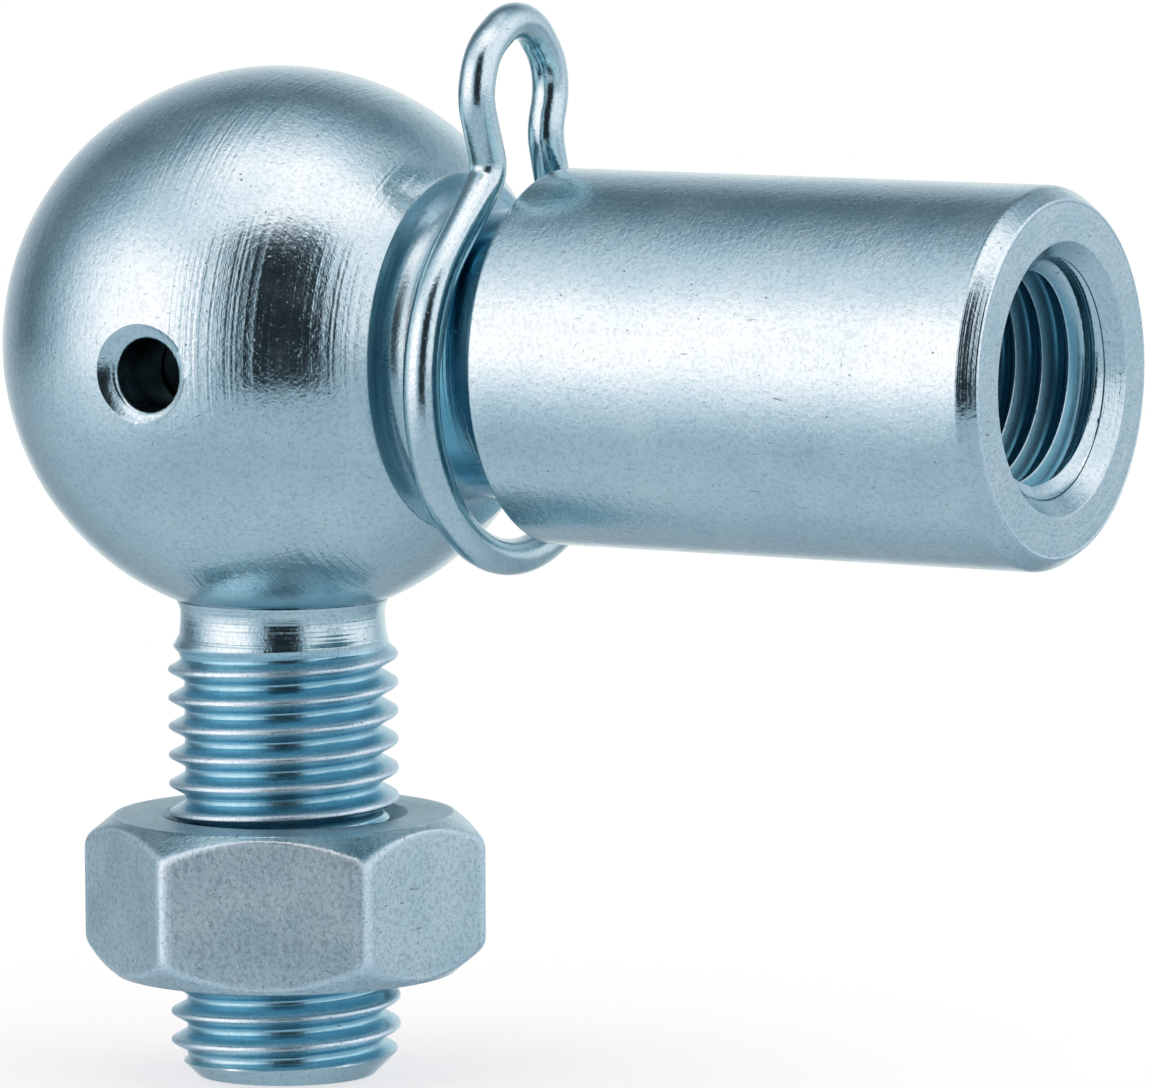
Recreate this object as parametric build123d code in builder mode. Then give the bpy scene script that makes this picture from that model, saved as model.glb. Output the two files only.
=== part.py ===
from build123d import *
import math
import os

# Angle ball joint, size 16: a ball stud with its hex nut, a turned ball socket with a threaded shank at
# right angles to the stud, the retaining ring inside the socket and the wire safety clip round its neck.
# The origin is the centre of the ball. The shank runs along +X and the stud hangs down along -Z.

# Ball stud
ball_radius = 8.0
waist_radius = 2.75
collar_radius = 4.6
stud_neck_radius = 4.44
stud_neck_length = 0.5
thread_radius = 5.0
thread_core_radius = 4.3
thread_start_taper = 0.9
stud_length = 19.9  # from the underside of the head to the stud's end
thread_end_chamfer = 1.1

# Ball socket: head, neck and shank, turned from one bar
head_thickness = 4.0  # from the ball to the outside of the head
head_face_radius = 7.7  # where the round head ends in the flat wall of the neck groove
neck_radius = 6.2
neck_length = 5.0
shank_radius = 8.0
shank_length = 23.9
shank_chamfer_length = 0.75
shank_chamfer_height = 0.54
neck_corner_radius = 0.25

# Cavity of the socket
ball_clearance = 0.1
lip_thickness = 1.8
mouth_radius = 4.25
collar_clearance = 0.15  # between the head and the stud's hollow collar

# Grease hole in the side of the head
grease_hole_radius = 1.52
grease_hole_sink_radius = 2.1
grease_hole_x = 0.6
grease_hole_z = -0.45

# Threaded bore of the shank
bore_radius = 5.1
bore_depth = 20.0
bore_sink_radius = 5.7
drill_point_angle = 118.0

# Retaining ring, sprung into a groove below the ball's equator
ring_wire_radius = 0.8
ring_drop = 3.5
ring_clearance = 0.1
ring_gap_angle = 24.0

# Safety clip, bent from one wire
clip_wire_radius = 0.78
clip_setback = 2.7  # from the head's flat wall to the middle of the wire
clip_play = 0.82  # between the neck and the inside of the clip's ring
clip_ring_drop = 0.87
clip_back_end_angle = 6.0  # angles count from the +Y side towards the top
clip_back_angle = 47.0
clip_front_angle = 133.0
clip_front_end_angle = 349.0
clip_back_leg = 2.9
clip_front_leg = 4.45
clip_back_throat = (2.45, 3.15)  # bends of the finger loop: across, and up from the top of the neck
clip_back_side = (3.31, 5.7)
clip_loop_top = (0.48, 8.69)
clip_loop_front = (-2.73, 6.85)
clip_front_side = (-3.29, 4.88)
clip_bend_radii = [1.5, 2.2, 2.6, 2.6, 2.5, 2.4, 1.1]
clip_wire_end_chamfer = 0.15

# Hex nut
nut_across_flats = 15.35
nut_height = 6.9
nut_drop = 8.5  # from the underside of the head to the nut
nut_corner_radius = 0.5
nut_face_radius = 7.4
nut_chamfer_angle = 39.0
nut_bore_clearance = 0.05
nut_sink_radius = 5.4
nut_turn = 25.0

head_radius = ball_radius + head_thickness

os.makedirs("parts", exist_ok=True)


def sphere_drop(sphere_radius, radius):
    """Height of a sphere's surface above its centre at a given radius from the axis."""
    return math.sqrt(sphere_radius**2 - radius**2)


# ---- Ball stud: ball, waist, hollow collar that follows the head, and thread, one turned piece ----
# The thread is a plain cylinder over its crests. Inside the nut the two threads fill each other's
# grooves, so there the stud has its core alone and the nut has the rest.
thread_end = head_radius + stud_length
collar_sphere_radius = head_radius + collar_clearance
collar_rim_z = -sphere_drop(collar_sphere_radius, collar_radius)
collar_seat_z = -sphere_drop(collar_sphere_radius, waist_radius)
ball_waist_z = -sphere_drop(ball_radius, waist_radius)
stud_neck_end_z = collar_rim_z - stud_neck_length
thread_start_z = stud_neck_end_z - thread_start_taper
nut_top_z = -head_radius - nut_drop
nut_bottom_z = nut_top_z - nut_height

with BuildPart() as ball_stud:
    with BuildSketch(Plane.XZ) as stud_profile:
        with BuildLine() as stud_outline:
            ball_top = Line((0, -thread_end), (0, ball_radius))
            ball_side = ThreePointArc(ball_top @ 1, (ball_radius, 0), (waist_radius, ball_waist_z))
            waist = Line(ball_side @ 1, (waist_radius, collar_seat_z))
            collar_middle = (waist_radius + collar_radius) / 2
            ThreePointArc(
                waist @ 1,
                (collar_middle, -sphere_drop(collar_sphere_radius, collar_middle)),
                (collar_radius, collar_rim_z),
            )
            TangentArc(
                (stud_neck_radius, stud_neck_end_z), (collar_radius, collar_rim_z), tangent=(0, 1)
            )
            Polyline(
                (stud_neck_radius, stud_neck_end_z),
                (thread_radius, thread_start_z),
                (thread_radius, nut_top_z),
                (thread_core_radius, nut_top_z),
                (thread_core_radius, nut_bottom_z),
                (thread_radius, nut_bottom_z),
                (thread_radius, -thread_end),
                (0, -thread_end),
            )
        make_face()
    revolve(axis=Axis.Z)
    chamfer(ball_stud.edges().group_by(Axis.Z)[0], thread_end_chamfer)
    waist_edge = ball_stud.edges().filter_by(GeomType.CIRCLE).filter_by(
        lambda edge: abs(edge.center().Z - ball_waist_z) < 0.01
    )
    fillet(waist_edge, (collar_sphere_radius - ball_radius) / 4)
ball_stud.part.label = "ball_stud"
export_step(ball_stud.part, "parts/ball_stud.step")


# ---- Ball socket ----
head_face_x = sphere_drop(head_radius, head_face_radius)
neck_end_x = head_face_x + neck_length
shank_end_x = neck_end_x + shank_length
cavity_radius = ball_radius + ball_clearance
groove_half_width = ring_wire_radius + ring_clearance
ring_radius = math.sqrt((cavity_radius + ring_wire_radius) ** 2 - ring_drop**2)
groove_radius = ring_radius + ring_wire_radius + ring_clearance
lip_sphere_radius = head_radius - lip_thickness
lip_start_z = -sphere_drop(lip_sphere_radius, cavity_radius)
lip_middle_radius = (cavity_radius + mouth_radius) / 2

with BuildPart() as ball_socket:
    with BuildSketch(Plane.XZ) as socket_profile:
        with BuildLine() as socket_outline:
            head = ThreePointArc(
                (-head_radius, 0),
                (0, head_radius),
                (head_face_x, head_face_radius),
            )
            Polyline(
                head @ 1,
                (head_face_x, neck_radius),
                (neck_end_x, neck_radius),
                (neck_end_x, shank_radius),
                (shank_end_x - shank_chamfer_length, shank_radius),
                (shank_end_x, shank_radius - shank_chamfer_height),
                (shank_end_x, 0),
                (-head_radius, 0),
            )
        make_face()
    revolve(axis=Axis.X)
    neck_corners = ball_socket.edges().filter_by(GeomType.CIRCLE).filter_by(
        lambda edge: abs(edge.radius - neck_radius) < 0.01
    )
    fillet(neck_corners, neck_corner_radius)

    # Seat for the ball, groove for the retaining ring and the lip that is rolled in below
    with BuildSketch(Plane.YZ) as cavity_profile:
        with BuildLine() as cavity_outline:
            axis_line = Line((0, -head_radius - lip_thickness), (0, cavity_radius))
            seat = RadiusArc(axis_line @ 1, (cavity_radius, 0), cavity_radius)
            wall = Line(seat @ 1, (cavity_radius, lip_start_z))
            lip = ThreePointArc(
                wall @ 1,
                (lip_middle_radius, -sphere_drop(lip_sphere_radius, lip_middle_radius)),
                (mouth_radius, -sphere_drop(lip_sphere_radius, mouth_radius)),
            )
            Polyline(lip @ 1, (mouth_radius, axis_line.start_point().Y), axis_line @ 0)
        make_face()
    revolve(axis=Axis.Z, mode=Mode.SUBTRACT)
    with BuildSketch(Plane.XY.offset(-ring_drop - groove_half_width)):
        Circle(groove_radius)
    extrude(amount=2 * groove_half_width, mode=Mode.SUBTRACT)

    # Grease hole from the side of the head to the ball
    hole_surface_y = -math.sqrt(head_radius**2 - grease_hole_x**2 - grease_hole_z**2)
    with Locations(Plane((grease_hole_x, hole_surface_y, grease_hole_z), z_dir=(0, -1, 0))):
        CounterSinkHole(grease_hole_radius, grease_hole_sink_radius, depth=head_radius - ball_radius)

    # Threaded bore with its drill point and countersunk mouth
    drill_point_length = bore_radius / math.tan(math.radians(drill_point_angle / 2))
    with BuildSketch(Plane.XZ) as bore_profile:
        with BuildLine() as bore_outline:
            Polyline(
                (shank_end_x - bore_depth - drill_point_length, 0),
                (shank_end_x - bore_depth, bore_radius),
                (shank_end_x - (bore_sink_radius - bore_radius), bore_radius),
                (shank_end_x, bore_sink_radius),
                (shank_end_x, 0),
                close=True,
            )
        make_face()
    revolve(axis=Axis.X, mode=Mode.SUBTRACT)
ball_socket.part.label = "ball_socket"
export_step(ball_socket.part, "parts/ball_socket.step")


# ---- Retaining ring: round spring wire, open at one point ----
with BuildPart() as retaining_ring:
    with BuildSketch(Plane.XZ) as ring_section:
        with Locations((ring_radius, -ring_drop)):
            Circle(ring_wire_radius)
    revolve(axis=Axis.Z, revolution_arc=360 - ring_gap_angle)
retaining_ring.part.label = "retaining_ring"
export_step(retaining_ring.part, "parts/retaining_ring.step")


# ---- Safety clip: a ring round the neck that rises into a finger loop, its ends a little apart ----
clip_ring_radius = neck_radius + clip_wire_radius + clip_play
ring_centre = Vector(0, -clip_ring_drop)


def ring_point(angle):
    """Point on the clip's ring at an angle, counted from the +Y side towards the top."""
    return ring_centre + Vector(clip_ring_radius, 0).rotate(Axis.Z, angle)


def above_neck(across, height):
    """Point at a height above the top of the neck."""
    return Vector(across, neck_radius + height)


def leave_ring(angle, length, turn):
    """Point along the ring's tangent; turn is 1 towards larger angles and -1 towards smaller ones."""
    return ring_point(angle) + Vector(length, 0).rotate(Axis.Z, angle + 90 * turn)


with BuildLine() as clip_outline:
    CenterArc(ring_centre, clip_ring_radius, clip_back_end_angle, clip_back_angle - clip_back_end_angle)
    FilletPolyline(
        ring_point(clip_back_angle),
        leave_ring(clip_back_angle, clip_back_leg, 1),
        above_neck(*clip_back_throat),
        above_neck(*clip_back_side),
        above_neck(*clip_loop_top),
        above_neck(*clip_loop_front),
        above_neck(*clip_front_side),
        leave_ring(clip_front_angle, clip_front_leg, -1),
        ring_point(clip_front_angle),
        radius=clip_bend_radii,
    )
    CenterArc(ring_centre, clip_ring_radius, clip_front_angle, clip_front_end_angle - clip_front_angle)
clip_path = Plane.YZ.offset(head_face_x + clip_setback).location * clip_outline.wire()

with BuildPart() as safety_clip:
    with BuildSketch(Plane(origin=clip_path @ 0, z_dir=clip_path % 0)):
        Circle(clip_wire_radius)
    sweep(path=clip_path)
    chamfer(safety_clip.faces().filter_by(GeomType.PLANE).edges(), clip_wire_end_chamfer)
safety_clip.part.label = "safety_clip"
export_step(safety_clip.part, "parts/safety_clip.step")


# ---- Hex nut ----
nut_centre_z = (nut_top_z + nut_bottom_z) / 2
nut_bore_radius = thread_core_radius + nut_bore_clearance
nut_sink_depth = nut_sink_radius - nut_bore_radius
nut_reach = nut_across_flats / math.sqrt(3)
nut_chamfer_drop = (nut_reach - nut_face_radius) * math.tan(math.radians(nut_chamfer_angle))

with BuildPart() as hex_nut:
    with BuildSketch(Plane.XY.offset(nut_centre_z)):
        RegularPolygon(nut_across_flats / 2, 6, major_radius=False, rotation=nut_turn)
    extrude(amount=nut_height / 2, both=True)
    fillet(hex_nut.edges().filter_by(Axis.Z), nut_corner_radius)
    with BuildSketch(Plane((0, 0, nut_centre_z), x_dir=(1, 0, 0), z_dir=(0, -1, 0))) as nut_profile:
        with BuildLine():
            Polyline(
                (nut_bore_radius, 0),
                (nut_bore_radius, nut_height / 2 - nut_sink_depth),
                (nut_sink_radius, nut_height / 2),
                (nut_face_radius, nut_height / 2),
                (nut_reach, nut_height / 2 - nut_chamfer_drop),
                (nut_reach, 0),
                close=True,
            )
        make_face()
        mirror(about=Plane.XZ)
    revolve(axis=Axis.Z, mode=Mode.INTERSECT)
hex_nut.part.label = "hex_nut"
export_step(hex_nut.part, "parts/hex_nut.step")
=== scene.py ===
import math

import bmesh
import bpy
import numpy as np
from mathutils import Matrix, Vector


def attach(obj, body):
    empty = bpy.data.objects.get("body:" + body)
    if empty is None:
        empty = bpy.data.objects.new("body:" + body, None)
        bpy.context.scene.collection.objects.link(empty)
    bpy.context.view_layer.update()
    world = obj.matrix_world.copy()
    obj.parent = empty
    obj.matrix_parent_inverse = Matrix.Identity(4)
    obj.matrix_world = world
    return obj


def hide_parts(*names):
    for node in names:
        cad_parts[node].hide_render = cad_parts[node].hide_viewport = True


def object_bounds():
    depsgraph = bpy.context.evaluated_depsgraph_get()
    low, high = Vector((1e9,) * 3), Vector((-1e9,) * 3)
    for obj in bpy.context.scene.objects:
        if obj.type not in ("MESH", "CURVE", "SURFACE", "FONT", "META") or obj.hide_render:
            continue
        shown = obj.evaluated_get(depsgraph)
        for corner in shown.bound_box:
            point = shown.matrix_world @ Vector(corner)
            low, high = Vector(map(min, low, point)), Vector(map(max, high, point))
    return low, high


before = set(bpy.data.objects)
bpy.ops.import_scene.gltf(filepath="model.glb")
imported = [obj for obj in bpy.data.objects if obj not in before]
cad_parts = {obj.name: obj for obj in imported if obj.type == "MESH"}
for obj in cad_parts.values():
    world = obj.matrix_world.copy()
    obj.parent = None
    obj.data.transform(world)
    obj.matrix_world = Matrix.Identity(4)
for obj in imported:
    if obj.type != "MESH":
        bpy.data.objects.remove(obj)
cad_low, cad_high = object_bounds()
MM = 0.001


# ---- Camera, light and floor ----
# A long lens looks at the joint a little from above, between the stud's side and the shank's mouth.
# White cloth hangs round it like a tent: open in front for the lens, and dark where it stops overhead.
view_azimuth = math.radians(30.5)
view_elevation = math.radians(6.25)
view_roll = math.radians(-0.3)
view_distance = 400.0
view_across = 12.73
view_up = -8.70
view_lens = 289.6
cloth_white = (0.77, 1.0, 1.18, 1)
lamp_white = (1.36, 0.90, 0.82, 1)
paper_white = (0.82, 0.88, 0.92, 1)

back = np.array([
    math.sin(view_azimuth) * math.cos(view_elevation),
    -math.cos(view_azimuth) * math.cos(view_elevation),
    math.sin(view_elevation),
])
level_right = np.array([math.cos(view_azimuth), math.sin(view_azimuth), 0.0])
level_up = np.cross(back, level_right)
right = math.cos(view_roll) * level_right + math.sin(view_roll) * level_up
up = math.cos(view_roll) * level_up - math.sin(view_roll) * level_right

camera = bpy.data.objects.new("camera", bpy.data.cameras.new("camera"))
bpy.context.scene.collection.objects.link(camera)
bpy.context.scene.camera = camera
camera.data.lens = view_lens
camera.data.sensor_width = 36
camera.data.clip_start = 0.01
camera.data.clip_end = 50
stand = np.eye(4)
stand[:3, 0], stand[:3, 1], stand[:3, 2] = right, up, back
stand[:3, 3] = (view_across * right + view_up * up + view_distance * back) * MM
camera.matrix_world = Matrix(stand.tolist())


class Wire:
    """One output in a node tree. Arithmetic on it adds Math nodes, and node() adds a node of any other
    kind."""

    def __init__(self, tree, output=None):
        self.tree = tree
        self.output = output

    def node(self, kind, inputs=None, settings=None, output=0):
        """Adds a node, makes its settings, sets or links its inputs, and returns the chosen output."""
        made = self.tree.nodes.new(kind)
        for name, value in (settings or {}).items():
            setattr(made, name, value)
        for name, value in (inputs or {}).items():
            if isinstance(value, Wire):
                self.tree.links.new(value.output, made.inputs[name])
            else:
                made.inputs[name].default_value = value
        return Wire(self.tree, made.outputs[output] if made.outputs else None)

    def outputs(self, *names):
        """The named outputs of the node that this one belongs to."""
        return [Wire(self.tree, self.output.node.outputs[name]) for name in names]

    def math(self, operation, first, second):
        return self.node("ShaderNodeMath", {0: first, 1: second}, {"operation": operation})

    def __add__(self, other):
        return self.math("ADD", self, other)

    def __radd__(self, other):
        return self.math("ADD", other, self)

    def __sub__(self, other):
        return self.math("SUBTRACT", self, other)

    def __rsub__(self, other):
        return self.math("SUBTRACT", other, self)

    def __mul__(self, other):
        return self.math("MULTIPLY", self, other)

    def __rmul__(self, other):
        return self.math("MULTIPLY", other, self)

    def __pow__(self, other):
        return self.math("POWER", self, other)

    def __abs__(self):
        return self.math("ABSOLUTE", self, 0)

    def rise(self, low, high):
        """0 below low, 1 above high, and smooth between them."""
        limits = {"Value": self, "From Min": low, "From Max": high}
        return self.node("ShaderNodeMapRange", limits, {"interpolation_type": "SMOOTHSTEP"})

    def length(self):
        return self.node("ShaderNodeVectorMath", {0: self}, {"operation": "LENGTH"}, "Value")

    def mixed(self, factor, first, second):
        """A colour between two others."""
        return self.node("ShaderNodeMix", {0: factor, 6: first, 7: second}, {"data_type": "RGBA"}, 2)

    def dot(self, direction):
        values = {0: self, 1: tuple(direction)}
        return self.node("ShaderNodeVectorMath", values, {"operation": "DOT_PRODUCT"}, "Value")


def tree_of(owner):
    owner.use_nodes = True
    owner.node_tree.nodes.clear()
    return Wire(owner.node_tree)


studio = bpy.data.worlds.new("studio")
bpy.context.scene.world = studio
nodes = tree_of(studio)
# Every share below depends on the direction alone: how far it points across, up and to the front, its
# bearing round the joint from the lens in radians, and two mixed directions that the walls fade along.
direction = nodes.node("ShaderNodeTexCoord", output="Generated")
across = direction.dot(level_right)
height = direction.dot(level_up)
front = direction.dot(back)
bearing = nodes.math("ARCTAN2", across, front)
ahead = 0.98 * front + 0.2 * across
lens_opening = (
    bearing.rise(-0.39, -0.25) * (1 - bearing.rise(0.33, 0.46))
    * height.rise(-0.42, -0.30) * (1 - height.rise(0.65, 0.80))
)
upper = height.rise(-0.20, 0.06)
behind = front - 0.2 * across
wall = 0.235 + 0.615 * (ahead - 0.25 * height.rise(0.3, 0.9)).rise(-0.80, -0.05)
wall = wall + 0.36 * (1 - behind.rise(-0.80, -0.52)) * (1 - height.rise(0.62, 0.82))
left_side = bearing.rise(-2.1, -1.15) * (1 - bearing.rise(-0.78, -0.42))
left_middle = 0.67 * height.rise(-0.46, 0.0) * (1 - height.rise(0.38, 0.74))
left_lamp = left_side * (0.32 * height.rise(-0.65, -0.35) + left_middle)
right_side = bearing.rise(0.35, 0.70) * (1 - bearing.rise(1.68, 2.28))
right_lamp = 0.58 * right_side * upper * (1 - height.rise(0.50, 0.88))
top_lamp = 0.88 * (0.92 * front + 0.38 * across).rise(0.05, 0.5) * height.rise(0.60, 0.82)
zenith = height.rise(0.87, 0.985) * (0.25 + 0.45 * ahead.rise(-0.17, 0.17))
low = 0.43 + 0.29 * behind.rise(-1.0, -0.1)
cloth = low * (1 - upper) + wall * upper + left_lamp + right_lamp + top_lamp + zenith
light = cloth * (1 - 0.97 * lens_opening)
seen, mirrored, through = nodes.node("ShaderNodeLightPath").outputs(
    "Is Camera Ray", "Is Glossy Ray", "Is Transmission Ray"
)
backdrop = 1 - behind.rise(-0.97, -0.80)
white = seen + (mirrored + through) * backdrop * height.rise(-0.45, -0.15)
tint = nodes.mixed(light * 0.5, cloth_white, lamp_white)
tent = nodes.node("ShaderNodeBackground", {"Color": tint, "Strength": light * (1 - white)})
sheet = nodes.node("ShaderNodeBackground", {"Color": (1, 1, 1, 1), "Strength": white})
both = nodes.node("ShaderNodeAddShader", {0: tent, 1: sheet})
nodes.node("ShaderNodeOutputWorld", {"Surface": both})
bpy.context.scene.view_settings.view_transform = "Standard"

floor_z = cad_low[2] - 0.2 * MM
floor_reach = 0.2
floor_mesh = bpy.data.meshes.new("floor")
floor_corners = [
    (x * floor_reach, y * floor_reach, floor_z) for x, y in [(-1, -1), (1, -1), (1, 1), (-1, 1)]
]
floor_mesh.from_pydata(floor_corners, [], [(0, 1, 2, 3)])
floor = bpy.data.objects.new("floor", floor_mesh)
bpy.context.scene.collection.objects.link(floor)
white_paper = bpy.data.materials.new("white_paper")
nodes = tree_of(white_paper)
from_middle = nodes.node("ShaderNodeTexCoord", output="Object").length()
paper = nodes.node("ShaderNodeBsdfDiffuse", {"Color": paper_white})
seen, mirrored = nodes.node("ShaderNodeLightPath").outputs("Is Camera Ray", "Is Glossy Ray")
glow = nodes.node("ShaderNodeEmission", {"Strength": 0.12 * (seen + mirrored)})
lit_paper = nodes.node("ShaderNodeAddShader", {0: paper, 1: glow})
clear = nodes.node("ShaderNodeBsdfTransparent")
sheet = nodes.node("ShaderNodeMixShader", {0: from_middle.rise(0.008, 0.050), 1: lit_paper, 2: clear})
nodes.node("ShaderNodeOutputMaterial", {"Surface": sheet})
floor_mesh.materials.append(white_paper)


# ---- Ball stud ----
# Ball, waist, hollow collar and M10 x 1.25 thread are one piece, turned from steel and zinc plated.
# The collar follows the head's outside, and the rolled thread runs out into the neck below it.
ball_radius = 8.0
waist_radius = 2.75
head_radius = 12.0
collar_sphere_radius = 12.01
collar_radius = 4.6
stud_neck_radius = 4.44
thread_lead_radius = 4.5
thread_lead_length = 1.3
thread_lead_slope = 0.55
thread_radius = 5.0
thread_core_radius = 4.3
thread_pitch = 1.25
thread_start_z = -12.62
stud_crest_z = -17.4
stud_end_z = -31.9
stud_chamfer = 1.1
nut_top_z = -20.5
nut_height = 6.9
nut_cover = 0.25
nut_cover_fade = 0.1
deep_zinc = (0.360, 0.570, 0.640, 1)
pale_zinc = (0.475, 0.680, 0.730, 1)
# Painted shade: the deeper blue that hollows are painted with in place of the shade that falls in them.
painted_shade_zinc = (0.08, 0.42, 0.60, 1)
# Paler zinc on rubbed crests, rims and corners: partly wear, partly a painted highlight.
wear_and_highlight_zinc = (0.52, 0.73, 0.82, 1)
speck_colour = (0.10, 0.20, 0.25, 1)
pit_colour = (0.07, 0.10, 0.12, 1)
# Painted shade: a near-black that darkens the ball and the seat inside the head, where shade falls.
painted_inner_shade_colour = (0.10, 0.15, 0.16, 1)


def arc(centre, radius, start, end, count):
    """Points on a circle round a centre, evenly spaced between two angles in degrees."""
    angle = np.radians(np.linspace(start, end, count))
    return np.stack([centre[0] + radius * np.cos(angle), centre[1] + radius * np.sin(angle)], axis=-1)


def polar_angle(radius, sideways):
    """Angle in degrees, negative below the horizontal, of a sphere's point at a distance from its axis."""
    return -math.degrees(math.acos(sideways / radius))


def round_corners(outline, steps=4):
    """An outline of (x, y, rounding radius) with an arc in place of each corner that has a radius. The arc
    touches both sides at the radius times the tangent of half the angle by which the corner is bent, and a
    further point lies just outside each end of it, so that the sides shade flat."""
    outline = [np.asarray(corner, dtype=float) for corner in outline]
    made = [outline[0][:2]]
    for before, here, after in zip(outline, outline[1:], outline[2:]):
        if here[2] == 0:
            made.append(here[:2])
            continue
        arriving = (here - before)[:2] / np.linalg.norm((here - before)[:2])
        leaving = (after - here)[:2] / np.linalg.norm((after - here)[:2])
        bent = math.acos(np.clip(arriving @ leaving, -1, 1))
        reach = here[2] * math.tan(bent / 2)
        towards = (leaving - arriving) / np.linalg.norm(leaving - arriving)
        centre = here[:2] + towards * here[2] / math.cos(bent / 2)
        start, end = here[:2] - arriving * reach - centre, here[:2] + leaving * reach - centre
        share = np.linspace(0, 1, steps + 1)[:, None]
        swept = (np.sin((1 - share) * bent) * start + np.sin(share * bent) * end) / math.sin(bent)
        skirt = reach + min(0.05, 0.3 * here[2] + 0.01)
        made += [here[:2] - arriving * skirt, *(centre + swept), here[:2] + leaving * skirt]
    made.append(outline[-1][:2])
    return np.array(made)


def tooth(phase, half_crest=0.07):
    """Height of a 60 degree thread between its root, 0, and its crest, 1, at a phase counted in pitches
    from a crest. It is a trapezoid with flat crest and root, averaged over three nearby phases to round
    its corners."""
    flank, rounding = 0.315, 0.028
    nearby = phase[..., None] + np.array([-rounding, 0.0, rounding])
    from_crest = np.abs((nearby + 0.5) % 1.0 - 0.5)
    return np.clip((half_crest + flank - from_crest) / flank, 0, 1).mean(axis=-1)


columns = 144
turn = np.linspace(0, 2 * np.pi, columns + 1)


def helix_rows(start, end, rows_in_pitch=16):
    """Places along the axis, and phases, of rows that each climb one pitch in a turn. They follow each
    other down from the start to the end, and are held between the two."""
    count = int((start - end) / thread_pitch + 2) * rows_in_pitch
    phase = np.arange(count + 1)[:, None] / rows_in_pitch
    climb = turn[None, :] / (2 * np.pi)
    return np.clip(start + thread_pitch * (climb - phase), end, start), phase


def revolve_rows(profile):
    """Distances along the axis and from it, repeated round the turn, for a profile of (from axis, along)."""
    profile = np.asarray(profile)
    return profile[:, 1:2] + 0 * turn, profile[:, 0:1] + 0 * turn


def turned(along, radius, axis, around=turn):
    """Grid of points at distances along the x or z axis and from it, once round."""
    first, second = radius * np.cos(around), radius * np.sin(around)
    parts = (along, first, second) if axis == "x" else (first, second, along)
    return np.stack(parts, axis=-1)


merge_distance = 0.0008 * MM
sharp_turn = math.radians(42)


def surface(name, points):
    """A smooth mesh over a grid of points. Points that fall together are merged, which closes the seam, the
    poles and the ends of a thread. Edges that turn by more than the sharp turn stay sharp."""
    rows, across_count = points.shape[:2]
    corner = np.arange(rows * across_count).reshape(rows, across_count)
    squares = np.stack([corner[:-1, :-1], corner[:-1, 1:], corner[1:, 1:], corner[1:, :-1]], axis=-1)
    mesh = bpy.data.meshes.new(name)
    mesh.from_pydata((points.reshape(-1, 3) * MM).tolist(), [], squares.reshape(-1, 4).tolist())
    merged = bmesh.new()
    merged.from_mesh(mesh)
    bmesh.ops.remove_doubles(merged, verts=merged.verts, dist=merge_distance)
    bmesh.ops.recalc_face_normals(merged, faces=merged.faces)
    merged.to_mesh(mesh)
    merged.free()
    mesh.shade_smooth()
    mesh.set_sharp_from_angle(angle=sharp_turn)
    piece = bpy.data.objects.new(name, mesh)
    bpy.context.scene.collection.objects.link(piece)
    return piece


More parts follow.
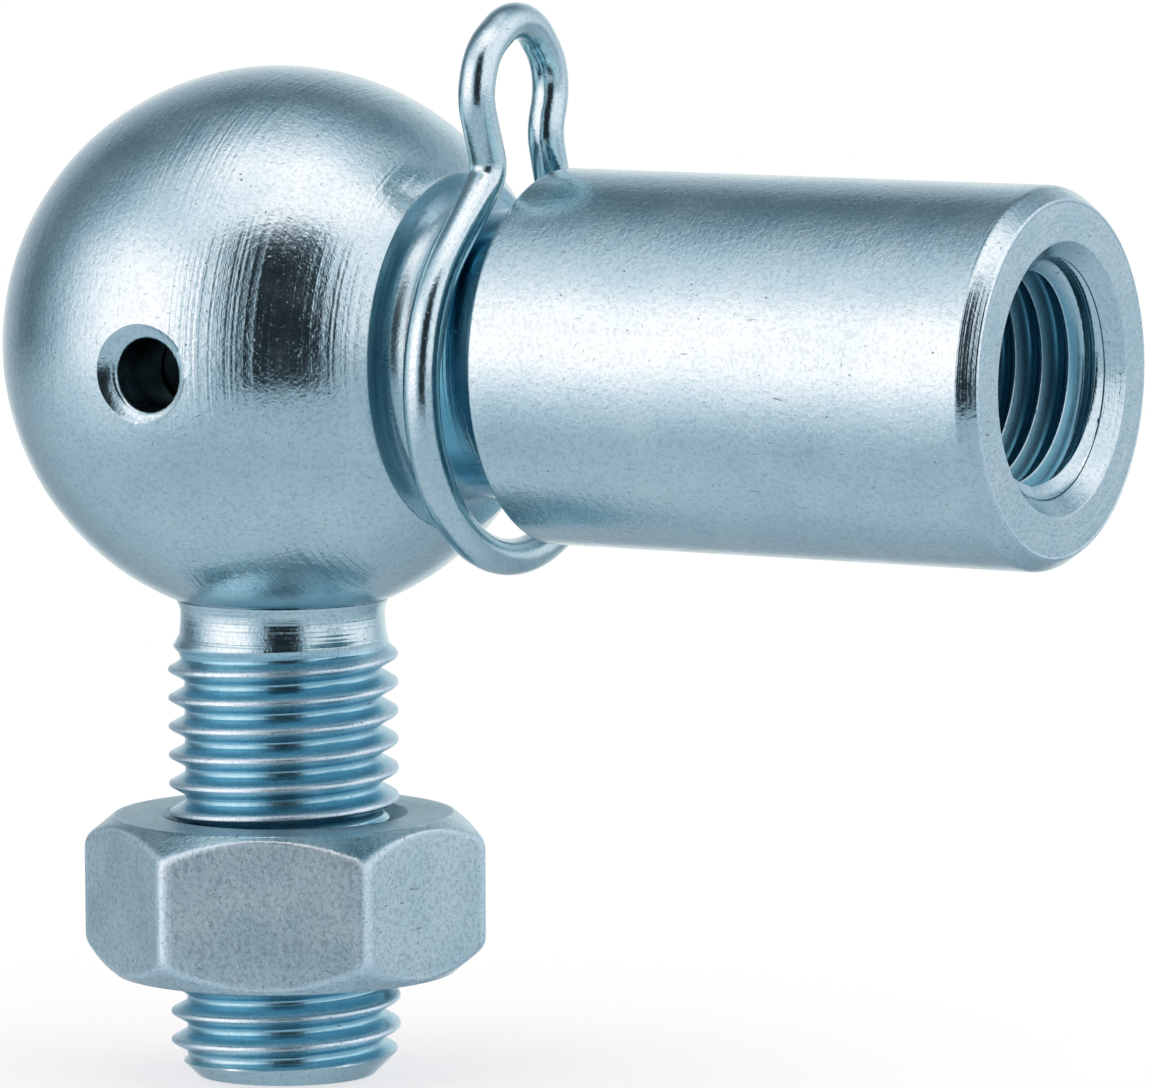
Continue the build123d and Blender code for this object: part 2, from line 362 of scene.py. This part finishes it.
def zinc(name, axis, marking=None, painted_shade=None, shade=painted_shade_zinc, painted_inner_shade=None, wear_and_highlight=None,
         dull=None, roughness=0.12, pitted=0.3, grain=1.0):
    """Zinc plate over turned steel, with its relief in millimetres. The cutter's marks are noise over the
    distance along the axis and part of that from it, which is the same all round each ring, and cloudy
    patches let them fade in and out. Grit is fine crystals, coarser lumps and raised flecks, and fainter
    where shade is painted; the crystals also pale and dull the plate, and small specks darken it. Cells that
    a second noise picks out are dark pits, and noise drawn out in two directions gives thin scratches. Shade
    is painted in: the plate takes a deeper blue where the painted shade share puts shade or a dark
    reflection, and turns near-black where the painted inner shade share darkens the inside of the head. It
    is paler where it is rubbed, which is partly wear and partly a painted highlight, and rougher where it is
    dull. Each rule gives its share from the distances along the axis, from it and from the origin, and the
    height."""
    material = bpy.data.materials.new(name)
    nodes = tree_of(material)
    place = nodes.node("ShaderNodeTexCoord", output="Object")
    split = nodes.node("ShaderNodeSeparateXYZ", {0: place})
    parts = [part * 1000 for part in split.outputs("X", "Y", "Z")]
    up = parts[2]
    along = parts.pop(axis)
    radius = (parts[0] * parts[0] + parts[1] * parts[1]) ** 0.5
    distance = (along * along + radius * radius) ** 0.5

    def share(rule):
        return rule(along, radius, distance, up) if rule else 0.0

    def noise(scale, detail=2.0, vector=place):
        return nodes.node("ShaderNodeTexNoise", {"Vector": vector, "Scale": scale, "Detail": detail})

    def lines(scale, detail):
        inputs = {"W": along + 0.4 * radius, "Scale": scale, "Detail": detail}
        return nodes.node("ShaderNodeTexNoise", inputs, {"noise_dimensions": "1D"})

    def scratch(turns, stretch, low):
        slanted = nodes.node("ShaderNodeMapping", {"Vector": place, "Rotation": turns, "Scale": stretch})
        return noise(1.0, 1.0, slanted).rise(low, low + 0.035)

    patch = noise(190.0).rise(0.38, 0.60)
    cloud = noise(420.0, 4.0).rise(0.32, 0.72)
    crystal = noise(8000.0, 3.0)
    fleck = noise(7500.0, 0.0).rise(0.62, 0.80)
    sparse = noise(330.0, 1.0).rise(0.50, 0.62)
    scratch_level = 0.735 - 0.01 * pitted
    scored = scratch((0.4, 0.9, 0.2), (1100.0, 8000.0, 8000.0), scratch_level) * sparse
    scored = scored + scratch((1.9, 0.3, 1.1), (7000.0, 1300.0, 7000.0), scratch_level) * (1 - sparse)
    cell = nodes.node("ShaderNodeTexVoronoi", {"Vector": place, "Scale": 2200.0 + 1200.0 * pitted})
    pit_level = 0.68 - 0.16 * pitted
    pit = (1 - cell.rise(0.07, 0.16)) * noise(1300.0, 1.0).rise(pit_level, pit_level + 0.04)
    marks = lines(5.5, 3.0) * 0.016 + lines(1.4, 1.0) * 0.009
    marks = marks * share(marking) * (0.45 + 0.55 * patch)
    grit = crystal * 0.007 + noise(3600.0, 1.0) * 0.011 + fleck * 0.0035
    deep = share(painted_shade)
    relief = marks + grit * (1 - 0.8 * deep) * grain - pit * 0.012 - scored * 0.004
    bump = nodes.node("ShaderNodeBump", {"Distance": MM, "Height": relief})

    tone = cloud * 0.4 + patch * 0.15 + crystal.rise(0.35, 0.65) * 0.35
    plate = nodes.mixed(tone, deep_zinc, pale_zinc)
    specks = noise(5000.0, 2.0).rise(0.50, 0.62) * (0.12 + 0.16 * pitted)
    plate = nodes.mixed(specks, plate, speck_colour)
    # Painted shade: the plate darkens towards the shade colour by the painted shade share.
    if painted_shade:
        plate = nodes.mixed(deep, plate, shade)
    # Partly wear, partly a painted highlight: rubbed places pale towards the rubbed colour.
    if wear_and_highlight:
        plate = nodes.mixed(share(wear_and_highlight) * crystal.rise(0.36, 0.50), plate, wear_and_highlight_zinc)
    plate = nodes.mixed(pit * 0.75 + scored * 0.6, plate, pit_colour)
    # Painted shade: the inner share darkens the plate to near-black.
    if painted_inner_shade:
        plate = nodes.mixed(share(painted_inner_shade), plate, painted_inner_shade_colour)
    shine = roughness + 0.08 * cloud + 0.15 * pit + 0.06 * crystal + 0.2 * share(dull)
    metal = nodes.node("ShaderNodeBsdfPrincipled", {
        "Base Color": plate, "Metallic": 1.0, "Roughness": shine, "Normal": bump
    })
    nodes.node("ShaderNodeOutputMaterial", {"Surface": metal})
    return material


def finished(piece, material, body, node):
    """Dresses a piece, and lets it ride on its body in place of the CAD node."""
    piece.data.materials.append(material)
    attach(piece, body)
    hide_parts(node)


collar_rim = polar_angle(collar_sphere_radius, collar_radius)
collar_seat = polar_angle(collar_sphere_radius, waist_radius)
ball_end = polar_angle(ball_radius, waist_radius)
collar_rim_z = -math.sqrt(collar_sphere_radius**2 - collar_radius**2)
ball_rows = revolve_rows([
    *arc((0, 0), ball_radius, 90, ball_end, 60),
    *arc((0, 0), collar_sphere_radius, collar_seat, collar_rim, 8),
    (collar_radius + 0.01, collar_rim_z - 0.02),
    (collar_radius - 0.03, collar_rim_z - 0.10),
    (collar_radius - 0.11, collar_rim_z - 0.28),
    (stud_neck_radius, collar_rim_z - 0.50),
    (stud_neck_radius, collar_rim_z - 0.80),
    (thread_lead_radius, thread_start_z),
])
thread_z, thread_phase = helix_rows(thread_start_z, stud_end_z)
lead_cone = np.clip(thread_lead_radius + (thread_start_z - thread_z) * thread_lead_slope, 0, thread_radius)
end_cone = np.clip(thread_radius - stud_chamfer + (thread_z - stud_end_z), 0, thread_radius)
crest = np.minimum(lead_cone, end_cone)
stud_phase = thread_phase + (stud_crest_z - thread_start_z) / thread_pitch + 0 * thread_z
groove = thread_core_radius + (thread_radius - thread_core_radius) * tooth(stud_phase)
deepening = np.clip((thread_start_z - thread_z) / thread_lead_length, 0, 1)
thread_r = crest - np.maximum(crest - groove, 0) * deepening
# Inside the nut, where the two threads would interlock, the stud is plain at the core of its thread.
past_nut_top = (nut_top_z - nut_cover - thread_z) / nut_cover_fade
short_of_nut_foot = (thread_z - nut_top_z + nut_height - nut_cover) / nut_cover_fade
under_nut = np.clip(past_nut_top, 0, 1) * np.clip(short_of_nut_foot, 0, 1)
thread_r = thread_r + (thread_core_radius - thread_r) * under_nut
end_rows = revolve_rows([
    (thread_radius - stud_chamfer - 0.12, stud_end_z),
    (1.6, stud_end_z + 0.04),
    (0, stud_end_z + 0.05),
])
stud_points = turned(
    np.concatenate([ball_rows[0], thread_z, end_rows[0]]),
    np.concatenate([ball_rows[1], thread_r, end_rows[1]]),
    "z",
)
stud = surface("threaded_stud", stud_points)


def stud_marking(along, radius, distance, up):
    return 0.7 + 1.6 * along.rise(thread_start_z - 0.4, thread_start_z)


def below_lead(along):
    """1 below the thread's first turn, and 0 on the neck and the ball."""
    return 1 - along.rise(thread_start_z - 0.7, thread_start_z - 0.2)


# Painted shade in the grooves of the stud's thread, below its lead and short of its chamfered end.
def stud_painted_shade(along, radius, distance, up):
    threaded = below_lead(along) * along.rise(stud_end_z + 0.7, stud_end_z + 1.2)
    return 0.48 * threaded * (1 - radius.rise(4.60, 4.92))


# Paler crests of the stud's thread: partly wear, partly a painted highlight.
def stud_crest_wear_and_highlight(along, radius, distance, up):
    return radius.rise(4.73, 4.88)


def stud_dull(along, radius, distance, up):
    return 0.3 * below_lead(along) + 0.6 * stud_crest_wear_and_highlight(along, radius, distance, up)


# Painted shade over the ball, which lies deep inside the head.
def ball_painted_shade(along, radius, distance, up):
    return 1 - distance.rise(8.3, 9.0)


stud_plate = zinc(
    "stud_plate", 2, stud_marking, stud_painted_shade,
    painted_inner_shade=ball_painted_shade, wear_and_highlight=stud_crest_wear_and_highlight, dull=stud_dull, grain=0.7,
)
finished(stud, stud_plate, "stud", "ball_stud")


# ---- Retaining ring ----
# An open ring of bare spring wire, sprung into its groove in the head, under the widest part of the ball.
ring_wire_radius = 0.8
ring_clearance = 0.1
ring_drop = 3.5
ring_radius = math.sqrt((ball_radius + ring_clearance + ring_wire_radius) ** 2 - ring_drop**2)
ring_gap = 24.0


def wire_along(path, across_path, sideways, radius, end_chamfer):
    """A round wire: a circle carried along a path, in the plane of the path's own sideways direction and the
    direction across its plane. The circle shrinks over the chamfer at each end and closes in a point."""
    length = np.r_[0, np.cumsum(np.linalg.norm(np.diff(path, axis=0), axis=1))]
    from_end = np.minimum(length, length[-1] - length)
    size = radius - end_chamfer + np.minimum(from_end, end_chamfer)
    size[[0, -1]] = 0
    around = np.linspace(0, 2 * np.pi, 25)
    circle = (
        np.cos(around)[None, :, None] * sideways[:, None, :]
        + np.sin(around)[None, :, None] * np.asarray(across_path, float)[None, None, :]
    )
    return path[:, None, :] + circle * size[:, None, None]


ring_angle = np.radians(np.linspace(0, 360 - ring_gap, 150))
ring_side = np.stack([np.cos(ring_angle), np.sin(ring_angle), 0 * ring_angle], axis=-1)
ring_path = ring_side * ring_radius + np.array([0, 0, -ring_drop])
ring_path, ring_side = (np.concatenate([part[:1], part, part[-1:]]) for part in (ring_path, ring_side))
ring = surface("spring_ring", wire_along(ring_path, (0, 0, 1), ring_side, ring_wire_radius, 0.0))
ring_steel = zinc("spring_steel", 2, grain=0.5)
finished(ring, ring_steel, "ring", "retaining_ring")


# ---- Ball socket ----
# Round head, neck groove and shank are one piece, turned about the shank's axis and zinc plated.
# The ball's seat is bored from below and its lip rolled in; the shank is drilled, countersunk and tapped.
head_face_radius = 7.7
neck_radius = 6.2
neck_length = 5.0
shank_radius = 8.0
shank_length = 23.9
shank_chamfer = (0.75, 0.54)
bore_sink_radius = 5.7
bore_sink_depth = 0.63
bore_major_radius = 5.04
bore_minor_radius = 4.4
bore_depth = 20.0
tap_start_depth = 0.7
tap_crest_depth = 0.84
tap_lead_length = 0.45
tap_runout_length = 2.0
drill_point = 118.0
lip_sphere_radius = 10.2
seat_radius = 8.1
ring_groove_depth = 0.98
ring_groove_half_width = 0.9
mouth_radius = 4.25
mouth_edge_z = -11.08
mouth_flare = 0.12
mouth_flare_z = -11.4
seat_cutter_end_z = -14.0
grease_hole_radius = 1.52
grease_hole_place = (0.6, -0.45)
grease_hole_end_y = -7.2
# Painted shade and painted reflection: the deep blue of the socket's shaded places.
socket_painted_shade_zinc = (0.04, 0.29, 0.43, 1)

head_face_x = math.sqrt(head_radius**2 - head_face_radius**2)
neck_end_x = head_face_x + neck_length
shank_end_x = neck_end_x + shank_length
head_end = math.degrees(math.atan2(head_face_x, head_face_radius))
head_rows = arc((0, 0), head_radius, -90, head_end - 0.8, 84)
shank_rows = round_corners([
    (*head_rows[-1], 0),
    (head_face_radius, head_face_x, 0.14),
    (neck_radius, head_face_x, 0.8),
    (neck_radius, neck_end_x, 0.25),
    (shank_radius, neck_end_x, 0.18),
    (shank_radius, neck_end_x + 8, 0),
    (shank_radius, neck_end_x + 16, 0),
    (shank_radius, shank_end_x - shank_chamfer[0], 0.7),
    (shank_radius - shank_chamfer[1], shank_end_x, 0.16),
    (bore_sink_radius, shank_end_x, 0.07),
    (bore_major_radius, shank_end_x - bore_sink_depth, 0.05),
    (bore_major_radius, shank_end_x - tap_start_depth, 0),
])
outer_along, outer_r = revolve_rows(np.concatenate([head_rows[:-1], shank_rows]))
tap_start = shank_end_x - tap_start_depth
tap_end = shank_end_x - bore_depth
tap_crest_x = shank_end_x - tap_crest_depth
tap_x, tap_phase = helix_rows(tap_start, tap_end, 14)
tap_phase = tap_phase + (tap_crest_x - tap_start) / thread_pitch + 0 * tap_x
tap_lead = np.clip((tap_start - tap_x) / tap_lead_length, 0, 1)
tap_depth = (bore_major_radius - bore_minor_radius) * tap_lead
runout = np.clip((tap_x - tap_end) / tap_runout_length, 0, 1)
groove_fill = 1 - (1 - tooth(tap_phase, 0.03)) * runout
bore_r = bore_major_radius - tap_depth * groove_fill
drill_end = tap_end - bore_minor_radius / math.tan(math.radians(drill_point / 2))
drill_rows = revolve_rows([(bore_minor_radius, tap_end), (0, drill_end)])
socket_points = turned(
    np.concatenate([outer_along, tap_x, drill_rows[0]]),
    np.concatenate([outer_r, bore_r, drill_rows[1]]),
    "x",
)
socket = surface("socket_body", socket_points)

lip_start = -math.degrees(math.acos(seat_radius / lip_sphere_radius))
lip_end = polar_angle(lip_sphere_radius, mouth_radius)
seat_rows = revolve_rows([
    *arc((0, 0), seat_radius, 90, 0, 40),
    (seat_radius, -ring_drop + ring_groove_half_width),
    (seat_radius + ring_groove_depth, -ring_drop + ring_groove_half_width),
    (seat_radius + ring_groove_depth, -ring_drop - ring_groove_half_width),
    (seat_radius, -ring_drop - ring_groove_half_width),
    *arc((0, 0), lip_sphere_radius, lip_start, lip_end, 14),
    (mouth_radius, mouth_edge_z),
    (mouth_radius + mouth_flare, mouth_flare_z),
    (mouth_radius + mouth_flare, seat_cutter_end_z),
    (0, seat_cutter_end_z),
])
seat_cutter = surface("seat_cutter", turned(*seat_rows, "z"))

hole_x, hole_z = grease_hole_place
hole_face_y = -math.sqrt(head_radius**2 - hole_x**2 - hole_z**2)
hole_along, hole_r = revolve_rows([
    (0, hole_face_y - 1),
    (2.55, hole_face_y - 0.15),
    (2.24, hole_face_y + 0.12),
    (2.08, hole_face_y + 0.24),
    (1.82, hole_face_y + 0.40),
    (1.72, hole_face_y + 0.43),
    (1.63, hole_face_y + 0.48),
    (1.56, hole_face_y + 0.57),
    (grease_hole_radius + 0.01, hole_face_y + 0.70),
    (grease_hole_radius, hole_face_y + 0.85),
    (grease_hole_radius, grease_hole_end_y),
    (0, grease_hole_end_y),
])
# The countersink's edge is a little out of round, by three waves round its turn.
ragged = 1 + 0.012 * np.sin(2 * turn + 1) + 0.008 * np.sin(3 * turn) + 0.005 * np.sin(7 * turn + 2)
hole_r = hole_r * np.where(hole_r > 1.9, ragged, 1)
hole_points = np.stack(
    [hole_x + hole_r * np.cos(turn), hole_along, hole_z + hole_r * np.sin(turn)], axis=-1
)
hole_cutter = surface("hole_cutter", hole_points)


def cut(piece, cutters):
    """Takes the cutters' solids out of a piece and clears them away."""
    for cutter in cutters:
        tool = piece.modifiers.new(cutter.name, "BOOLEAN")
        tool.operation, tool.solver, tool.object = "DIFFERENCE", "EXACT", cutter
    bpy.context.view_layer.update()
    evaluated = piece.evaluated_get(bpy.context.evaluated_depsgraph_get())
    carved = bpy.data.meshes.new_from_object(evaluated)
    piece.modifiers.clear()
    piece.data = carved
    carved.shade_smooth()
    carved.set_sharp_from_angle(angle=sharp_turn)
    for cutter in cutters:
        bpy.data.objects.remove(cutter)


cut(socket, [seat_cutter, hole_cutter])


def in_bore(along, radius):
    """1 on the bore's thread past its first turn, and 0 elsewhere."""
    deep = along.rise(14.0, 15.0) * (1 - along.rise(shank_end_x - 1.9, shank_end_x - 1.5))
    return deep * (1 - radius.rise(5.1, 5.3))


def socket_marking(along, radius, distance, up):
    head = 1 - along.rise(9.3, 9.8)
    mouth = along.rise(shank_end_x - 0.95, shank_end_x - 0.75)
    bevel = mouth * radius.rise(7.3, 7.45)
    neck = along.rise(head_face_x - 0.1, head_face_x + 0.1) * (1 - along.rise(neck_end_x - 0.1, neck_end_x))
    return 0.2 + head * (0.35 + along.rise(-4.0, 7.0)) + 0.5 * neck + mouth + 1.8 * bevel


# Painted shade on the head's flat wall, on the neck beside the clip where the wire's shadow falls, and in
# the bore's thread.
def socket_painted_shade(along, radius, distance, up):
    wall = along.rise(head_face_x - 0.08, head_face_x - 0.02) * (1 - radius.rise(7.5, 7.75))
    wall = wall * (1 - along.rise(head_face_x + 0.03, head_face_x + 0.3))
    neck = along.rise(head_face_x, head_face_x + 0.1) * (1 - along.rise(neck_end_x - 0.1, neck_end_x + 0.06))
    neck = neck * (0.08 + 0.72 * along.rise(10.8, 11.5) - 0.45 * along.rise(12.4, 12.9))
    tapped = in_bore(along, radius) * (0.30 + 0.45 * radius.rise(4.46, 4.54) + 0.1 * radius.rise(4.82, 4.94))
    # Painted reflection and shade of the stud on the head's underside.
    under = (1 - up.rise(-11.4, -10.2)) * (1 - along.rise(9.0, 9.2))
    return 0.4 * wall + neck + tapped + 0.9 * under


# Painted shade in the ball's seat and the lower part of the grease hole, inside the head.
def seat_painted_shade(along, radius, distance, up):
    return (1 - distance.rise(10.2, 10.9)) * (1 - along.rise(8.0, 9.0))


def socket_dull(along, radius, distance, up):
    neck = along.rise(head_face_x - 0.08, head_face_x - 0.02) * (1 - along.rise(10.8, 11.4))
    return 0.6 * neck + in_bore(along, radius) * radius.rise(4.44, 4.50)


# Paler rim round the shank's end face: partly wear, partly a painted highlight.
def socket_rim_wear_and_highlight(along, radius, distance, up):
    rim = radius.rise(7.30, 7.38) * (1 - radius.rise(7.50, 7.56))
    return 0.7 * rim * along.rise(shank_end_x - 0.12, shank_end_x - 0.04)


socket_plate = zinc(
    "socket_plate", 0, socket_marking, socket_painted_shade, shade=socket_painted_shade_zinc,
    painted_inner_shade=seat_painted_shade, wear_and_highlight=socket_rim_wear_and_highlight, dull=socket_dull,
)
finished(socket, socket_plate, "socket", "ball_socket")


# ---- Safety clip ----
# One piece of drawn spring wire, bent into a ring round the neck that rises into a finger loop.
# Its ends lie a little apart behind the shank. It is zinc plated and slips on over the shank.
clip_wire_radius = 0.78
clip_end_chamfer = 0.15
clip_x = head_face_x + 2.7
clip_ring_slack = 0.82
clip_ring_radius = neck_radius + clip_wire_radius + clip_ring_slack
clip_ring_drop = 0.87
clip_end_angles = (6.0, 349.0)
clip_loop_angles = (47.0, 133.0)
clip_back_throat = (2.45, 3.15)
clip_back_side = (3.31, 5.7)
clip_loop_top = (0.48, 8.69)
clip_loop_front = (-2.73, 6.85)
clip_front_side = (-3.29, 4.88)


def ring_point(angle):
    """The point of the ring at an angle in degrees, across and up from the shank's axis."""
    angle = math.radians(angle)
    return clip_ring_radius * np.array([math.cos(angle), math.sin(angle)]) - np.array([0, clip_ring_drop])


def leave_ring(angle, length, way):
    """The point reached from the ring at an angle by going straight on, along its tangent."""
    slope = math.radians(angle + 90 * way)
    return ring_point(angle) + length * np.array([math.cos(slope), math.sin(slope)])


def bend(place, radius):
    """A bend of the finger loop, placed across and up from the top of the neck."""
    return (place[0], neck_radius + place[1], radius)


loop_start, loop_end = clip_loop_angles
loop = round_corners([
    (*ring_point(loop_start), 0),
    (*leave_ring(loop_start, 2.9, 1), 1.5),
    bend(clip_back_throat, 2.2),
    bend(clip_back_side, 2.6),
    bend(clip_loop_top, 2.6),
    bend(clip_loop_front, 2.5),
    bend(clip_front_side, 2.4),
    (*leave_ring(loop_end, 4.45, -1), 1.1),
    (*ring_point(loop_end), 0),
], steps=12)
clip_flat = np.concatenate([
    arc((0, -clip_ring_drop), clip_ring_radius, clip_end_angles[0], loop_start, 22)[:-1],
    loop,
    arc((0, -clip_ring_drop), clip_ring_radius, loop_end, clip_end_angles[1], 100)[1:],
])
clip_flat = clip_flat[np.r_[True, np.linalg.norm(np.diff(clip_flat, axis=0), axis=1) > 0.02]]
# Rows just inside each end and at the end of its chamfer keep the two edges there crisp.
first_step, last_step = clip_flat[1] - clip_flat[0], clip_flat[-1] - clip_flat[-2]
first_step = first_step / np.linalg.norm(first_step) * clip_end_chamfer
last_step = last_step / np.linalg.norm(last_step) * clip_end_chamfer
clip_flat = np.concatenate([
    clip_flat[:1], clip_flat[:1] + 0.02 * first_step, clip_flat[:1] + first_step, clip_flat[1:-1],
    clip_flat[-1:] - last_step, clip_flat[-1:] - 0.02 * last_step, clip_flat[-1:],
])
clip_heading = np.gradient(clip_flat, axis=0)
clip_heading /= np.linalg.norm(clip_heading, axis=1)[:, None]
clip_side = np.stack([0 * clip_heading[:, 0], -clip_heading[:, 1], clip_heading[:, 0]], axis=-1)
clip_path = np.stack([clip_x + 0 * clip_flat[:, 0], clip_flat[:, 0], clip_flat[:, 1]], axis=-1)
clip_points = wire_along(clip_path, (1, 0, 0), clip_side, clip_wire_radius, clip_end_chamfer)
clip = surface("spring_clip", clip_points)
clip_plate = zinc("clip_plate", 0, grain=0.6, pitted=0.0)
finished(clip, clip_plate, "clip", "safety_clip")


# ---- Hex nut ----
# A cold pressed nut, tapped and zinc plated: its faces keep the mottled skin of the press, and its
# corners and the rims of its chamfers are paler, partly rubbed bright and partly a painted highlight.
nut_across_flats = 15.35
nut_corner_radius = 0.5
nut_face_radius = 7.4
nut_bore_radius = 4.35
nut_sink_radius = 5.4
nut_sink_depth = 1.05
nut_slope = math.tan(math.radians(39.0))
nut_turn = math.radians(25.0)
steps_to_corner = 14

# The nut's radius is worked out once round it, from the angle to the middle of the nearest flat: a flat's
# is its distance over the cosine of that angle, and a corner's is where the ray leaves its round.
to_corner = math.pi / 6 * (1 - (1 - np.linspace(0, 1, steps_to_corner + 1)) ** 2.2)
from_flat = np.tile(np.concatenate([-to_corner[:0:-1], to_corner[:-1]]), 6)
nut_around = np.repeat(np.arange(6) * math.pi / 3, 2 * steps_to_corner) + from_flat + nut_turn + math.pi / 6
from_flat, nut_around = np.r_[from_flat, from_flat[0]], np.r_[nut_around, nut_around[0] + 2 * math.pi]
flat_reach = nut_across_flats / 2
corner_centre = (flat_reach - nut_corner_radius) / math.cos(math.pi / 6)
from_corner = np.abs(np.abs(from_flat) - math.pi / 6)
on_flat = flat_reach / np.cos(from_flat)
on_corner = corner_centre * np.cos(from_corner) + np.sqrt(
    np.maximum(nut_corner_radius**2 - (corner_centre * np.sin(from_corner)) ** 2, 0)
)
nut_r = np.where(np.abs(from_flat) > math.atan2(corner_centre * 0.5, flat_reach), on_corner, on_flat)
nut_drop = (nut_r - nut_face_radius) * nut_slope
half = nut_height / 2


def nut_row(radius, lift):
    """A row once round the nut, at a distance from its axis and a height over its middle."""
    return radius + 0 * nut_around, lift + 0 * nut_around


# From the countersink over the flat face, down the chamfer's cone, round the soft edge and down the side.
sides = [nut_row(radius, half) for radius in (nut_sink_radius, 6.2, 7.33)]
sides.append(nut_row(nut_face_radius + 0.05, half - 0.03))
for share in np.linspace(0.2, 0.6, 5)[:-1]:
    sides.append(nut_row(nut_face_radius + (nut_r - nut_face_radius) * share, half - nut_drop * share))
soft = 0.4 * nut_drop
for share in np.linspace(0, 1, 6):
    inward = 0.78 * soft * (1 - share) ** 2
    lift = soft * (0.63 * (1 - share) ** 2 - share**2)
    sides.append(nut_row(nut_r - inward, half - nut_drop + lift))
for share in (0.75, 0.5):
    sides.append(nut_row(nut_r, (half - nut_drop - soft) * (2 * share - 1)))
upper_r = np.array([side[0] for side in sides])
upper_z = np.array([side[1] for side in sides])
bore_z = np.linspace(-1, 1, 9)[:, None] * (half - nut_sink_depth) + 0 * nut_around
nut_bore_r = nut_bore_radius + 0 * bore_z
nut_r_rows = np.concatenate([nut_bore_r, upper_r, upper_r[::-1], nut_bore_r[:1]])
nut_z_rows = np.concatenate([bore_z, upper_z, -upper_z[::-1], bore_z[:1]])
nut = surface("pressed_nut", turned(nut_z_rows + nut_top_z - half, nut_r_rows, "z", nut_around))


def past_chamfer(along, radius):
    """How far a point lies outside the cones of the chamfers, measured up or down. Below them it is less
    than 0."""
    return abs(along - (nut_top_z - half)) + (radius - nut_face_radius) * nut_slope - half


# Paler rims of the chamfers and corners: partly wear, partly a painted highlight.
def nut_edge_wear_and_highlight(along, radius, distance, up):
    outside = past_chamfer(along, radius)
    rim = outside.rise(-0.26, -0.14)
    corner = radius.rise(8.56, 8.70)
    return (0.6 * rim + 0.9 * corner - 0.6 * rim * corner) * (1 - outside.rise(-0.03, 0.0))


def nut_skin(along, radius, distance, up):
    return 1 - past_chamfer(along, radius).rise(-0.10, 0.02)


nut_plate = zinc("nut_plate", 2, wear_and_highlight=nut_edge_wear_and_highlight, dull=nut_skin, roughness=0.20, pitted=1.0, grain=1.3)
finished(nut, nut_plate, "nut", "hex_nut")
